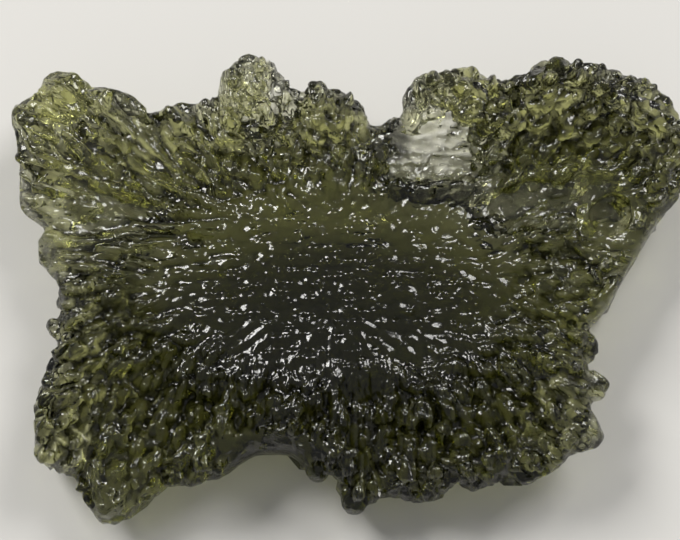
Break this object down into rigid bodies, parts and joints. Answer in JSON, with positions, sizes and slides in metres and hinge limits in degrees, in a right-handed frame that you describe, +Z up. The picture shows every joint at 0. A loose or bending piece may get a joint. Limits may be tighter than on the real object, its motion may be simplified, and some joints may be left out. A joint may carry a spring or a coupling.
{
  "type": "moldavite",
  "caption": "Thin jagged plate of natural green glass, etched all over with pits and radiating grooves, lying on a small worn foot.",
  "frame": {"origin": "on the table, under the middle of the bounding box", "axes": "+X along the longest side, towards the straight broken face; +Y across the plate, towards the crowned lobes; +Z up, out of the etched upper face"},
  "size_m": [0.0428, 0.0292, 0.0079],
  "materials": {
    "moldavite_glass": "natural glass with a finely etched, glossy surface"
  },
  "bodies": {
    "root": {"moldavite": "moldavite_glass"}
  },
  "joints": []
}
